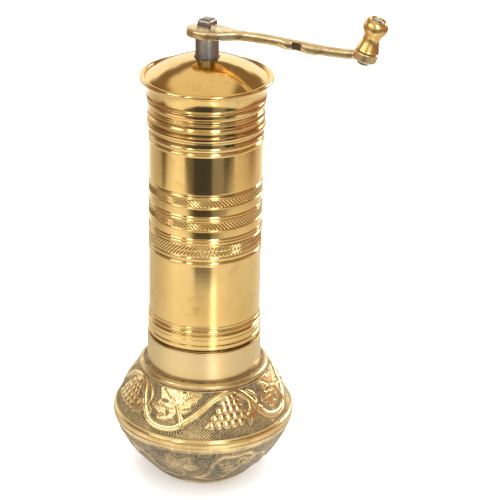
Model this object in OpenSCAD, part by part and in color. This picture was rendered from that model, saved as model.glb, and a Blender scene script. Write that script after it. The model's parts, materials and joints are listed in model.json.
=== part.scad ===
// Hand coffee mill in turned and cast brass: a standing bowl that catches the grounds,
// a barrel with the burrs in its foot, a domed lid, and a crank on a square shaft end.
// Millimetres. The origin is the centre of the foot's flat face, +Z is up, and the crank
// points along +X.

/* [Barrel] */
// Outside diameter of the plain tube
barrel_d = 50; // [49:0.25:52]
// Wall of the tube
barrel_wall = 1.4; // [1.2:0.1:1.6]
// Length of the tube, from the collar's lip to the lid
barrel_h = 112.3; // [108:0.1:124]

/* [Bowl] */
// Diameter at the widest point
bowl_d = 83; // [80:0.5:88]
// Diameter of the flat foot
foot_d = 41; // [36:0.5:44]
// Height of the seam below the plain girth band
girth_z = 28; // [27:0.25:29]
// Height of the neck, where the plain collar starts
neck_z = 55; // [54:0.25:57]
// Height of the plain collar
collar_h = 14; // [12:0.25:16]
// Wall of the cast bowl
bowl_wall = 1.9; // [1.6:0.1:2.1]

/* [Lid] */
// Diameter over the rolled rim
rim_d = 58.2; // [57:0.1:61]
// Height of the skirt, from the barrel to the underside of the rim
skirt_h = 7; // [6:0.25:8]
// Rise of the dome above the rim
dome_h = 9.6; // [8:0.2:10]

/* [Crank] */
// Turn of the shaft's square from the crank's direction, in degrees
square_turn = -14; // [-45:1:45]
// Distance from the shaft's axis to the knob's seat
crank_reach = 70; // [66:0.5:80]
// Outward lean of the knob, in degrees
knob_lean = 16.5; // [11:0.5:20]
// Height of the knob
knob_h = 14.5; // [13:0.1:18]
// Diameter of the knob's head
knob_d = 10.8; // [9.5:0.1:12]
// Thickness of the crank's eye
eye_t = 4; // [3.5:0.1:4.5]

/* [Grinding set] */
// Teeth on the cone burr
cone_teeth = 14; // [10:1:18]
// Teeth in the ring burr
ring_teeth = 20; // [14:1:24]
// Gap between the burrs at their lower edge, at the coarsest setting
burr_gap = 0.7; // [0.6:0.05:1]
// Pitch of the adjusting screw, which is also how far one turn lifts the burr
screw_pitch = 0.7; // [0.5:0.1:0.8]

/* [Hidden] */

$fn = 96;
eps = 0.5;            // how far a cutter runs past a face
seat_gap = 0.2;       // gap under pieces that only rest on each other
slide_gap = 0.1;      // radial gap of a sliding fit
run_gap = 0.08;       // radial gap of a turning fit
joint_gap = 0.02;     // solder line between fixed pieces

// Bowl
foot_r = foot_d / 2;
bowl_r = bowl_d / 2;
seam_r = bowl_r - 0.4;              // where the lower shell meets the girth band
band_h = 4.2;                       // height of the plain girth band
band_top_z = girth_z + band_h;
shoulder_r = bowl_r - 0.5;          // where the shoulder leaves the band
lip_z = neck_z + collar_h;

// Barrel and its sleeve
barrel_r = barrel_d / 2;
bore_r = barrel_r - barrel_wall;
collar_r = barrel_r + 0.8;
sleeve_r = barrel_r - 0.5;          // outside of the sleeve below the barrel
collar_bore_r = sleeve_r + slide_gap;
collar_plug = 3;                    // how deep the collar sits in the neck
barrel_z = lip_z + seat_gap;
barrel_top_z = barrel_z + barrel_h;
sleeve_z = 46;                      // lower edge of the sleeve
sleeve_seat_z = barrel_z + 15;      // step in the barrel that the sleeve butts against
sleeve_wall = 1.2;
housing_bore_r = sleeve_r - sleeve_wall;

// Lid
skirt_r = barrel_r + 1.2;
lid_z = barrel_top_z + seat_gap;
rim_z = lid_z + skirt_h + 1.3;      // middle of the rolled rim
rim_bead_r = 1.1;
rim_r = rim_d / 2 - rim_bead_r;     // centre of the rim's roll
dome_r = rim_r - 1.2;
dome_z = rim_z + 0.2;
dome_top_z = dome_z + dome_h;
lid_t = 1.0;
plug_depth = 5.5;                   // how far the lid's ring reaches into the barrel
plug_r = bore_r - 0.12;

// Shaft
journal_r = 5.1;
stem_r = 4;
top_square = 6.5;                   // across flats, under the crank
burr_square = 5.6;                  // across flats, in the cone burr
tail_r = 2.6;
shoulder_z = dome_top_z + 8.1;       // top of the journal, where the crank sits
eye_z = shoulder_z + seat_gap / 2;
shaft_top_z = shoulder_z + 8.3;

// Burrs
ring_z = 49;                        // lower face of the ring burr
ring_h = 17;
ring_mouth_r = 18;                  // bore at the lower face
ring_throat_z = ring_z + 11;
ring_throat_r = 15.2;
cone_z = ring_z + 0.5;
cone_foot_r = ring_mouth_r - burr_gap - 0.13;
cone_top_z = ring_z + 21;
washer_h = 1.5;

// Bridges
bridge_z = barrel_z + 32;           // upper bridge, underside
bush_r = 6;
bush_z = bridge_z - 3;
lower_bar_z = 39.5;
lower_bar_h = 3;
bar_half = 22.4;                    // half length of the lower bridge
leg_w = 3.8;
bar_w = 8;
screw_r = 2.45;                     // adjusting screw
screw_bore_r = screw_r + 0.05;
ball_r = 2;
tail_end_z = 45.5;
ball_z = tail_end_z - 0.9;
screw_top_z = ball_z - 0.9;
small_screw_r = 1.25;
small_bore_r = small_screw_r + 0.05;
set_screw_z = ring_z + 10;
bridge_screw_y = bar_half - leg_w / 2;

// Crank
arm_w = 4.4;
arm_t = 4.1;
arm_fall = 3;                       // how far the arm droops
arm_fall_from = 16;                 // where the droop starts and ends, from the shaft
arm_fall_to = crank_reach - 8;
eye_mid_z = eye_z + eye_t / 2;
boss_r = 5.2;
boss_t = 4;
boss_drop = 2.7;                    // how far the boss lies under the eye's middle
boss_z = eye_mid_z - boss_drop;
rivet_r = 1.6;
rivet_head_r = 2.7;
rivet_head_t = 2.2;
knob_gap = 0.15;

BRASS = "#c9a24c";
ANTIQUE = "#9a8350";
STEEL = "#7d7a76";
IRON = "#55524e";

// ---- Curves ----
// A point and then a run of points on a cubic curve.
function cubic(a, b, c, d, t) =
    a * pow(1 - t, 3) + b * 3 * t * pow(1 - t, 2) + c * 3 * t * t * (1 - t) + d * pow(t, 3);
function curve(a, b, c, d, n = 14) = [for (i = [0:n]) cubic(a, b, c, d, i / n)];
// A turned bead (proud above 0) or groove (proud under 0) on radius r, from z upwards.
function bead(r, z, h, proud, n = 6) =
    [for (i = [0:n]) [r + proud * sin(180 * i / n), z + h * i / n]];
// Points on an arc in the r-z plane.
function arc(r, z, rad, from, to, n = 10) =
    [for (i = [0:n]) let (a = from + (to - from) * i / n) [r + rad * cos(a), z + rad * sin(a)]];

module turned(outline) { rotate_extrude() polygon(outline); }
module tube(r_out, r_in, z, h) {
    translate([0, 0, z]) difference() {
        cylinder(r = r_out, h = h);
        translate([0, 0, -eps]) cylinder(r = r_in, h = h + 2 * eps);
    }
}

// ---- Bowl ----
module bowl_lower() {
    in = bowl_wall;
    outside = curve([foot_r, 0], [foot_r + 6.5, 4.5], [seam_r - 3.6, 15], [seam_r, girth_z]);
    inside = curve([seam_r - in, girth_z], [seam_r - 3.6 - in, 16],
                   [foot_r + 5, 4.5 + in], [foot_r - 3, in]);
    color(ANTIQUE) turned(concat([[0, 0]], outside, inside, [[0, in]]));
}

module bowl_upper() {
    in = bowl_wall;
    neck_r = collar_r + 1.6;
    band = curve([seam_r, girth_z], [bowl_r + 0.1, girth_z + 1.2],
                 [bowl_r + 0.1, girth_z + 3], [shoulder_r, band_top_z], 8);
    shoulder = curve([shoulder_r, band_top_z], [shoulder_r - 3.5, neck_z - 14.2],
                     [neck_r + 3.6, neck_z - 3.2], [neck_r, neck_z + 0.2]);
    inside = curve([collar_r, neck_z - collar_plug], [neck_r + 2.6, neck_z - 6.4],
                   [shoulder_r - 3.5 - in, neck_z - 15], [seam_r - in, girth_z]);
    color(ANTIQUE) turned(concat(band, shoulder, [[collar_r, neck_z + 0.2]], inside));
}

module bowl_collar() {
    color(BRASS) tube(collar_r - joint_gap, collar_bore_r,
                      neck_z - collar_plug, collar_h + collar_plug);
}

// ---- Barrel ----
// The rope bands are plain raised bands here. Each has a pair of fine beads above it.
rope_proud = 0.22;
module barrel() {
    r = barrel_r;
    foot = concat(
        [[r + 0.35, barrel_z]],
        bead(r + 0.45, barrel_z + 2.6, 1.1, -0.3), bead(r + 0.45, barrel_z + 5.6, 0.8, -0.2),
        bead(r + 0.45, barrel_z + 7.4, 1.2, -0.3), bead(r + 0.35, barrel_z + 10.4, 0.8, -0.2),
        bead(r + 0.3, barrel_z + 11.7, 0.8, -0.2), [[r, barrel_z + 13.2]]);
    low_rope = concat(
        bead(r, barrel_z + 42.2, 1.2, 0.25), bead(r, barrel_z + 43.6, 0.5, -0.15),
        bead(r, barrel_z + 44.2, 1.3, 0.25), bead(r, barrel_z + 46.3, 4.9, rope_proud));
    ropes = [for (z = [51.6, 62.6], p = concat(
        bead(r, barrel_z + z, 1.1, 0.2), bead(r, barrel_z + z + 1.2, 1.1, 0.2),
        bead(r, barrel_z + z + 6, 0.8, 0.2),
        bead(r, barrel_z + z + 7, 3.3, rope_proud))) p];
    top_beads = concat(bead(r, barrel_z + 73.8, 0.9, 0.2), bead(r, barrel_z + 74.9, 0.9, 0.2));
    top = concat(
        bead(r, barrel_top_z - 19.2, 1.3, 0.25), bead(r, barrel_top_z - 17.6, 1.3, 0.25),
        [[r + 0.1, barrel_top_z - 16], [r + 0.1, barrel_top_z - 12.4]],
        curve([r + 0.2, barrel_top_z - 12.2], [r + 1.3, barrel_top_z - 11.2],
              [r + 1.3, barrel_top_z - 9.2], [r + 0.1, barrel_top_z - 7.6], 8),
        [[r, barrel_top_z - 6.8], [r, barrel_top_z - 5.4]],
        bead(r + 0.2, barrel_top_z - 4.9, 1.1, 0.2), bead(r + 0.5, barrel_top_z - 3.6, 1.1, 0.2),
        [[r + 1.1, barrel_top_z - 2], [r + 1.1, barrel_top_z - 0.3],
         [r + 0.8, barrel_top_z]]);
    color(BRASS) turned(concat(
        foot, low_rope, ropes, top_beads, top,
        [[bore_r, barrel_top_z], [bore_r, sleeve_seat_z],
         [sleeve_r + joint_gap, sleeve_seat_z], [sleeve_r + joint_gap, barrel_z]]));
}

module burr_housing() {
    color(BRASS) difference() {
        tube(sleeve_r, housing_bore_r, sleeve_z, sleeve_seat_z - joint_gap - sleeve_z);
        set_screw_places() cylinder(r = small_bore_r, h = 8, center = true);
    }
}

// Puts children on the three set screws, with +Z pointing outwards at the sleeve's surface.
module set_screw_places() {
    for (a = [30, 150, 270])
        rotate([0, 0, a]) translate([sleeve_r, 0, set_screw_z]) rotate([0, 90, 0]) children();
}

module ring_burr() {
    funnel_r = 21;
    tooth_w = 1.5;
    color(IRON) difference() {
        turned([[housing_bore_r - joint_gap, ring_z], [housing_bore_r - joint_gap, ring_z + ring_h],
                [funnel_r, ring_z + ring_h], [ring_throat_r, ring_throat_z],
                [ring_mouth_r, ring_z]]);
        for (i = [0:ring_teeth - 1])
            rotate([0, 0, i * 360 / ring_teeth]) translate([ring_throat_r, 0, ring_throat_z])
                rotate([0, 0, 30]) rotate([24, 0, 0])
                    translate([-1, -tooth_w / 2, -6]) cube([3, tooth_w, 14]);
        set_screw_places() cylinder(r = small_bore_r, h = 9, center = true);
        bridge_screw_places() cylinder(r = small_bore_r, h = 15.5);
    }
}

module burr_set_screws() {
    length = 4;
    color(STEEL) set_screw_places() translate([0, 0, -length - 0.2]) difference() {
        cylinder(r = small_screw_r, h = length);
        translate([-2, -0.2, length - 0.7]) cube([4, 0.4, 1]);
    }
}

// ---- Bearings and bridges ----
module upper_bridge() {
    arm = 7;
    plate = 2;
    tab_h = 7;
    wall_r = bore_r - joint_gap;
    color(BRASS) difference() {
        union() {
            translate([0, 0, bridge_z]) cylinder(r = 9, h = plate);
            intersection() {
                translate([0, 0, bridge_z - tab_h]) cylinder(r = wall_r, h = tab_h + plate);
                for (a = [60, 180, 300]) rotate([0, 0, a]) {
                    translate([0, -arm / 2, bridge_z]) cube([barrel_r, arm, plate]);
                    translate([wall_r - 1.5, -arm / 2, bridge_z - tab_h])
                        cube([3, arm, tab_h + plate]);
                }
            }
        }
        translate([0, 0, bridge_z - eps]) cylinder(r = bush_r, h = plate + 2 * eps);
    }
}

module upper_bush() {
    color(STEEL) difference() {
        union() {
            translate([0, 0, bush_z]) cylinder(r = bush_r - joint_gap, h = 6.5);
            translate([0, 0, bridge_z + 2 + joint_gap]) cylinder(r = 7.6, h = 1.4);
        }
        translate([0, 0, bush_z - eps]) cylinder(r = stem_r + run_gap, h = 10);
    }
}

// Puts children under the two screws of the lower bridge, with +Z pointing up.
module bridge_screw_places() {
    for (side = [-1, 1])
        translate([0, side * bridge_screw_y, lower_bar_z]) children();
}

module lower_bridge() {
    boss_h = 2.6;
    color(STEEL) difference() {
        union() {
            translate([-bar_w / 2, -bar_half, lower_bar_z]) cube([bar_w, 2 * bar_half, lower_bar_h]);
            for (side = [-1, 1])
                translate([-bar_w / 2, side * bridge_screw_y - leg_w / 2, lower_bar_z])
                    cube([bar_w, leg_w, ring_z - joint_gap - lower_bar_z]);
            translate([0, 0, lower_bar_z - boss_h]) cylinder(r = 5.5, h = boss_h + lower_bar_h);
        }
        translate([0, 0, lower_bar_z - boss_h - eps])
            cylinder(r = screw_bore_r, h = boss_h + lower_bar_h + 2 * eps);
        translate([0, 0, -eps]) bridge_screw_places() cylinder(r = small_bore_r, h = 12);
    }
}

module bridge_screws() {
    color(STEEL) bridge_screw_places() difference() {
        union() {
            translate([0, 0, -1.8 - joint_gap]) cylinder(r = 2.4, h = 1.8);
            translate([0, 0, -1.8]) cylinder(r = small_screw_r, h = 16.5);
        }
        translate([-3, -0.3, -3]) cube([6, 0.6, 1.9]);
    }
}

// A closed coil: a ring of `sides` points swept along a helix.
module coil(r, wire, z, h, turns, sides = 8, steps = 18) {
    n = turns * steps;
    points = [for (i = [0:n], k = [0:sides - 1])
        let (a = 360 * i / steps, b = 360 * k / sides, q = r + wire * cos(b))
        [q * cos(a), q * sin(a), z + wire + (h - 2 * wire) * i / n + wire * sin(b)]];
    skin = [for (i = [0:n - 1], k = [0:sides - 1])
        let (a = i * sides + k, b = i * sides + (k + 1) % sides)
        [a, a + sides, b + sides, b]];
    ends = [[for (k = [0:sides - 1]) k], [for (k = [sides - 1:-1:0]) n * sides + k]];
    polyhedron(points, concat(skin, ends));
}

module spring() {
    low = cone_top_z + washer_h + joint_gap;
    color(STEEL) coil(5.6, 0.5, low, bush_z - joint_gap - low, 7);
}

// ---- Lid ----
module lid_dome() {
    cap_r = (dome_r * dome_r + dome_h * dome_h) / (2 * dome_h);   // radius of the dome's sphere
    cap_z = dome_top_z - cap_r;
    edge = asin((dome_z - cap_z) / cap_r);                        // angle of the dome's edge
    hole = acos(bush_seat_r / cap_r);
    outside = concat(
        [[skirt_r, lid_z], [skirt_r, lid_z + 0.6]],
        curve([skirt_r - 0.2, lid_z + 0.9], [skirt_r - 0.2, lid_z + 4.5],
              [skirt_r + 0.4, rim_z - 2.2], [rim_r - 0.4, rim_z - rim_bead_r], 8),
        arc(rim_r, rim_z, rim_bead_r, -60, 110, 10),
        arc(0, cap_z, cap_r, edge, hole, 16));
    inside = concat(
        arc(0, cap_z, cap_r - lid_t, acos(bush_seat_r / (cap_r - lid_t)), edge - 1, 16),
        [[skirt_r - 1.3, rim_z - 1.5], [skirt_r - 1.3, lid_z + plug_depth],
         [plug_r + joint_gap, lid_z + plug_depth], [plug_r + joint_gap, lid_z]]);
    color(BRASS) turned(concat(outside, inside));
}

module lid_plug_ring() {
    color(BRASS) tube(plug_r, plug_r - 0.9, lid_z - plug_depth, 2 * plug_depth);
}

bush_seat_r = journal_r + 0.9;
module lid_bush() {
    bore = journal_r + 0.15;
    color(STEEL) turned([
        [bore, dome_top_z - 3], [bush_seat_r - joint_gap, dome_top_z - 3],
        [bush_seat_r - joint_gap, dome_top_z - 0.3], [bush_seat_r + 0.5, dome_top_z - 0.3],
        [bush_seat_r + 0.5, dome_top_z + 0.5], [bush_seat_r + 0.2, dome_top_z + 0.8],
        [bore, dome_top_z + 0.8]]);
}

// ---- Drive ----
module drive_shaft() {
    journal_z = lid_z + 4;
    color(STEEL) difference() {
        union() {
            translate([0, 0, tail_end_z]) cylinder(r = tail_r, h = 10);
            translate([-burr_square / 2, -burr_square / 2, cone_z])
                cube([burr_square, burr_square, cone_top_z - cone_z + 1]);
            translate([0, 0, cone_top_z]) cylinder(r = stem_r, h = journal_z - cone_top_z + 1);
            translate([0, 0, journal_z]) cylinder(r = journal_r, h = shoulder_z - journal_z);
            intersection() {
                rotate([0, 0, square_turn]) translate([-top_square / 2, -top_square / 2, shoulder_z - 1])
                    cube([top_square, top_square, shaft_top_z - shoulder_z + 1]);
                translate([0, 0, shoulder_z - 2])
                    turned([[0, 0], [5, 0], [5, 6.3], [3, shaft_top_z - shoulder_z + 2],
                            [0, shaft_top_z - shoulder_z + 2]]);
            }
        }
        translate([0, 0, ball_z]) sphere(r = ball_r + 0.05);
    }
}

module cone_burr() {
    top_r = 7;
    crown = [[0, cone_z], [cone_foot_r, cone_z], [cone_foot_r - 0.6, cone_z + 2.4],
             [12.4, ring_throat_z], [top_r, cone_top_z - 2], [top_r, cone_top_z], [0, cone_top_z]];
    cut_w = 1.7;
    hole = burr_square + 0.1;
    color(IRON) difference() {
        turned(crown);
        for (i = [0:cone_teeth - 1])
            rotate([0, 0, i * 360 / cone_teeth]) translate([12.6, 0, ring_throat_z - 2])
                rotate([-28, -22, 0]) translate([0, -cut_w / 2, -14]) cube([5, cut_w, 28]);
        translate([-hole / 2, -hole / 2, cone_z - eps]) cube([hole, hole, cone_top_z]);
    }
}

module spring_washer() {
    color(STEEL) tube(7.4, stem_r + 0.1, cone_top_z + joint_gap, washer_h - joint_gap);
}

module burr_nut() {
    nut_h = 3;
    color(STEEL) translate([0, 0, cone_z - nut_h - joint_gap]) difference() {
        cylinder(d = 10 / cos(30), h = nut_h, $fn = 6);
        translate([0, 0, -eps]) cylinder(r = tail_r + joint_gap, h = nut_h + 2 * eps);
    }
}

module thrust_ball() { color(STEEL) translate([0, 0, ball_z]) sphere(r = ball_r); }

module adjusting_screw() {
    hub_r = 4;
    hub_z = 30;
    hub_h = 4.5;
    wing_r = 4.6;
    wing_x = 7;
    threads = floor((screw_top_z - hub_z - hub_h - 1) / screw_pitch);
    thread = [for (i = [0:threads - 1], p =
        bead(screw_r, hub_z + hub_h + i * screw_pitch, screw_pitch, -0.3, 4)) p];
    color(STEEL) difference() {
        union() {
            turned(concat([[0, hub_z + 1], [screw_r, hub_z + 1]], thread,
                          [[screw_r, screw_top_z - 0.3], [screw_r - 0.3, screw_top_z], [0, screw_top_z]]));
            translate([0, 0, hub_z]) cylinder(r = hub_r, h = hub_h);
            for (side = [-1, 1])
                translate([side * wing_x, 1, hub_z - 0.5]) rotate([90, 0, 0])
                    cylinder(r = wing_r, h = 2);
        }
        translate([0, 0, ball_z]) sphere(r = ball_r + 0.05);
    }
}

// ---- Crank ----
// Height of the arm's middle line, at a distance from the shaft: a drooping S.
function arm_z(s) = let (u = (s - arm_fall_from) / (arm_fall_to - arm_fall_from))
    eye_mid_z - arm_fall * (1 - cos(180 * min(1, max(0, u)))) / 2
              + 0.4 * max(0, (s - crank_reach + 10) / 10);

module arm_bar() {
    s_from = 4;
    s_to = crank_reach - 3;
    n = 26;
    s_at = [for (i = [0:n]) s_from + (s_to - s_from) * i / n];
    side = concat([for (s = s_at) [s, arm_z(s) + arm_t / 2]],
                  [for (i = [n:-1:0]) [s_at[i], arm_z(s_at[i]) - arm_t / 2]]);
    rotate([90, 0, 0]) linear_extrude(height = arm_w, center = true) polygon(side);
}

module crank_arm() {
    hole = top_square + 0.16;
    notch_s = crank_reach * 0.57;
    notch_l = 3.7;
    notch_depth = 0.35;
    color(BRASS) difference() {
        union() {
            arm_bar();
            translate([0, 0, eye_z]) linear_extrude(height = eye_t) polygon(eye_outline());
            at_knob() translate([0, 0, -boss_t]) cylinder(r = boss_r, h = boss_t);
        }
        rotate([0, 0, square_turn]) translate([-hole / 2, -hole / 2, eye_z - eps])
            cube([hole, hole, eye_t + 2 * eps]);
        at_knob() cylinder(r = rivet_r + joint_gap, h = 3 * boss_t, center = true);
        at_knob() translate([0, 0, -boss_t - 2 * rivet_head_t])
            cylinder(r = rivet_head_r + 0.15, h = 2 * rivet_head_t);
        for (side = [-1, 1])
            translate([notch_s, side * (arm_w / 2 - notch_depth + 1), arm_z(notch_s)])
                cube([notch_l, 2, 12], center = true);
    }
}

// The eye seen from above: an oval whose outer end draws out to the arm.
function eye_outline() = concat(
    [for (a = [70:10:290]) [9.2 * cos(a), 7 * sin(a)]],
    curve([3.1, -6.6], [7, -5.6], [9, -arm_w / 2 - 0.4], [13, -arm_w / 2], 6),
    curve([13, arm_w / 2], [9, arm_w / 2 + 0.4], [7, 5.6], [3.1, 6.6], 6));

// Puts children on the knob's seat, with +Z along the knob's axis.
module at_knob() {
    translate([crank_reach, 0, boss_z + boss_t / 2]) rotate([0, knob_lean, 0]) children();
}

module knob() {
    r = knob_d / 2;
    waist = r * 0.65;
    outline = concat(
        [[rivet_r + run_gap, 0], [r * 0.84, 0]],
        arc(r * 0.84, 0.7, 0.48, -60, 60, 4),
        curve([r * 0.88, 1.4], [waist * 0.9, knob_h * 0.3],
              [waist * 0.8, knob_h * 0.5], [r * 0.86, knob_h * 0.66], 12),
        curve([r * 0.92, knob_h * 0.7], [r * 1.06, knob_h * 0.8],
              [r * 0.98, knob_h * 0.95], [r * 0.66, knob_h], 8),
        [[r * 0.6, knob_h], [r * 0.56, knob_h - 0.9], [rivet_r + run_gap, knob_h - 0.9]]);
    color(BRASS) at_knob() translate([0, 0, knob_gap]) turned(outline);
}

module knob_rivet() {
    top = knob_h + knob_gap;
    color(STEEL) at_knob() turned([
        [0, -boss_t - rivet_head_t], [rivet_head_r - 0.4, -boss_t - rivet_head_t],
        [rivet_head_r, -boss_t - rivet_head_t + 0.4], [rivet_head_r, -boss_t - joint_gap],
        [rivet_r, -boss_t - joint_gap], [rivet_r, top - 0.8], [rivet_r + 0.9, top - 0.8],
        [rivet_r + 0.9, top - 0.4], [rivet_r + 0.3, top], [0, top]]);
}

bowl_lower();
bowl_upper();
bowl_collar();
barrel();
burr_housing();
ring_burr();
burr_set_screws();
upper_bridge();
upper_bush();
lower_bridge();
bridge_screws();
spring();
lid_dome();
lid_plug_ring();
lid_bush();
drive_shaft();
cone_burr();
spring_washer();
burr_nut();
thrust_ball();
adjusting_screw();
crank_arm();
knob_rivet();
knob();
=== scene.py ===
import json
import math

import bmesh
import bpy
import numpy as np
from mathutils import Euler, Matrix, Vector


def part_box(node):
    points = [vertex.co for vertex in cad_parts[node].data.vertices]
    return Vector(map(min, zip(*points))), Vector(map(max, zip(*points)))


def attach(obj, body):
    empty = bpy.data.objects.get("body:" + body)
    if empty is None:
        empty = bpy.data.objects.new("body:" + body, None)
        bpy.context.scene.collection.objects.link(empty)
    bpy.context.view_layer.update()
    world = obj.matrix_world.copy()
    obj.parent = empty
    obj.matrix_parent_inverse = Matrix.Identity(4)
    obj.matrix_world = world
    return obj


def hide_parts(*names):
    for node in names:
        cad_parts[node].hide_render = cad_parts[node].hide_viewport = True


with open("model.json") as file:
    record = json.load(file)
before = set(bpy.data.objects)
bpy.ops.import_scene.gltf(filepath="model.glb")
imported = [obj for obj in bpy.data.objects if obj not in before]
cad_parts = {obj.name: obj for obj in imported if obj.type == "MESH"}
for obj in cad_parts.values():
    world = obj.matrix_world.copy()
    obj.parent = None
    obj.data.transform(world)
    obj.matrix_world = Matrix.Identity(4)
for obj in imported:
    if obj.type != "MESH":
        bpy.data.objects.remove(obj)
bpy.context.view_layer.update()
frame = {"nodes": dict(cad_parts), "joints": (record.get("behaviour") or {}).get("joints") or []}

MM = 0.001
TAU = 2 * math.pi

# ---- sizes in millimetres


def top(node):
    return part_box(node)[1].z / MM


def bottom(node):
    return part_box(node)[0].z / MM


def radius(node):
    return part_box(node)[1].y / MM


BARREL_R = 25.0
BARREL_Z = bottom("barrel")
BARREL_TOP = top("barrel")
SLEEVE_R = radius("burr_housing")
SLEEVE_TOP = top("burr_housing")
BORE_R = 23.6
GIRTH_R = radius("bowl_upper")
SEAM_Z = top("bowl_lower")
SEAM_R = radius("bowl_lower")
FOOT_R = 20.5
BAND_TOP = SEAM_Z + 4.2
COLLAR_R = radius("bowl_collar")
COLLAR_TOP = top("bowl_collar")
COLLAR_BOTTOM = bottom("bowl_collar")
NECK_Z = top("bowl_upper")
NECK_R = COLLAR_R + 1.6
WALL = 1.9
LID_Z = bottom("lid_plug_ring") + 5.5
RIM_R = radius("lid_dome")
DOME_TOP = top("lid_dome")
JOURNAL_R = 5.1
STEM_R = 4.0
SHAFT_TOP = top("drive_shaft")
SQUARE_RISE = 8.3
SHOULDER_Z = SHAFT_TOP - SQUARE_RISE

# The camera's place in metres and turn in degrees. FRONT is its azimuth, which the ornament starts from.
CAMERA_AT = Vector((0.2451, -0.8017, 0.4864))
CAMERA_TURN = (65.72, -1.05, 16.10)
FRONT = math.degrees(math.atan2(CAMERA_AT.y, CAMERA_AT.x))

# ---- curves and meshes


def cubic(a, b, c, d, n):
    """Points on a cubic curve, as (r, z)."""
    t = np.linspace(0, 1, n + 1)[:, None]
    a, b, c, d = (np.array(p, float) for p in (a, b, c, d))
    return (a * (1 - t) ** 3 + b * 3 * t * (1 - t) ** 2 + c * 3 * t * t * (1 - t) + d * t**3).tolist()


def arc(r, z, rad, start, end, n):
    """Points on an arc in the r-z plane, angles in degrees."""
    turns = np.radians(np.linspace(start, end, n + 1))
    return [[r + rad * math.cos(a), z + rad * math.sin(a)] for a in turns]


def bead(r, z, h, proud, n=8):
    """A half-round bead on radius r from z up, or a groove if proud is below 0."""
    return [[r + proud * math.sin(math.pi * i / n), z + h * i / n] for i in range(n + 1)]


def smooth(value, low, high):
    """An eased step from 0 at low to 1 at high."""
    t = np.clip((value - low) / (high - low), 0, 1)
    return t * t * (3 - 2 * t)


def hump(v, middle, wide):
    """A smooth hump of height 1."""
    return np.exp(-(((v - middle) / wide) ** 2))


ROUND_STEPS = 3
LONG_FLAT = 0.7
FLAT_BRACE = 0.1


def softened(outline, rad, sharp=24):
    """The closed outline with corners sharper than `sharp` degrees rounded off."""
    pts = [Vector(p) for p in outline]
    out = []
    for i, p in enumerate(pts):
        before, after = p - pts[i - 1], pts[(i + 1) % len(pts)] - p
        if before.length < 1e-6 or after.length < 1e-6:
            continue
        turn = math.degrees(before.angle(after))
        reach = min(rad, before.length * 0.45, after.length * 0.45)
        if turn < sharp or p.x < 0.01:
            out.append(list(p))
            continue
        a, b = p - before.normalized() * reach, p + after.normalized() * reach
        for k in range(ROUND_STEPS + 1):
            t = k / ROUND_STEPS
            out.append(list(a * (1 - t) ** 2 + p * 2 * t * (1 - t) + b * t * t))
    return braced(out)


def braced(outline):
    """Adds a point near both ends of every long flat, so that it shades flat."""
    out = []
    for i, p in enumerate(outline):
        a, b = Vector(p), Vector(outline[(i + 1) % len(outline)])
        out.append(list(p))
        if (b - a).length > LONG_FLAT:
            along = (b - a).normalized() * FLAT_BRACE
            out += [list(a + along), list(b - along)]
    return out


def mesh_object(name, verts, rows, material, body, nodes, sharp):
    """A piece skinned over rows of points, in millimetres."""
    mesh = bpy.data.meshes.new(name)
    faces = ring_faces(rows, len(verts) // rows)
    mesh.from_pydata((np.asarray(verts, np.float32) * MM).tolist(), [], faces.tolist())
    return finish_object(name, mesh, material, body, nodes, sharp)


def finish_object(name, mesh, material, body, nodes, sharp):
    """Makes a piece of a mesh: its material, body and replaced CAD nodes."""
    dress(mesh, material, sharp)
    obj = placed(name, mesh)
    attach(obj, body)
    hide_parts(*nodes)
    return obj


def placed(name, data):
    """A new object in the scene."""
    obj = bpy.data.objects.new(name, data)
    bpy.context.scene.collection.objects.link(obj)
    return obj


def shade(mesh, sharp):
    """Smooth shading, crisp on edges sharper than `sharp` degrees. 0 keeps none."""
    mesh.shade_smooth()
    if sharp:
        mesh.set_sharp_from_angle(angle=math.radians(sharp))


def dress(mesh, material, sharp):
    """One material over the whole mesh, and its shading."""
    mesh.materials.clear()
    mesh.materials.append(material)
    shade(mesh, sharp)


def lofted(name, *lofts):
    """A mesh of closed lofts, each through rings of equal count."""
    bm = bmesh.new()
    for rings in lofts:
        made = [[bm.verts.new(Vector(v) * MM) for v in ring] for ring in rings]
        for low, high in zip(made, made[1:]):
            for i in range(len(low)):
                bm.faces.new([low[i - 1], low[i], high[i], high[i - 1]])
        bm.faces.new(made[0][::-1])
        bm.faces.new(made[-1])
    bmesh.ops.recalc_face_normals(bm, faces=bm.faces)
    mesh = bpy.data.meshes.new(name)
    bm.to_mesh(mesh)
    bm.free()
    return mesh


def weld(obj, sharp):
    """Joins the points that meet on the axis, and turns the faces outward."""
    bm = bmesh.new()
    bm.from_mesh(obj.data)
    bmesh.ops.remove_doubles(bm, verts=bm.verts, dist=1e-7)
    bmesh.ops.recalc_face_normals(bm, faces=bm.faces)
    bm.to_mesh(obj.data)
    bm.free()
    shade(obj.data, sharp)


def ring_faces(rows, columns, closed_rows=True):
    """Quads of a grid whose columns go round, and its rows too if asked."""
    r = np.arange(rows if closed_rows else rows - 1)[:, None]
    c = np.arange(columns)[None, :]
    below, above = r * columns, ((r + 1) % rows) * columns
    right = (c + 1) % columns
    return np.stack([below + c, below + right, above + right, above + c], -1).reshape(-1, 4)


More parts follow.
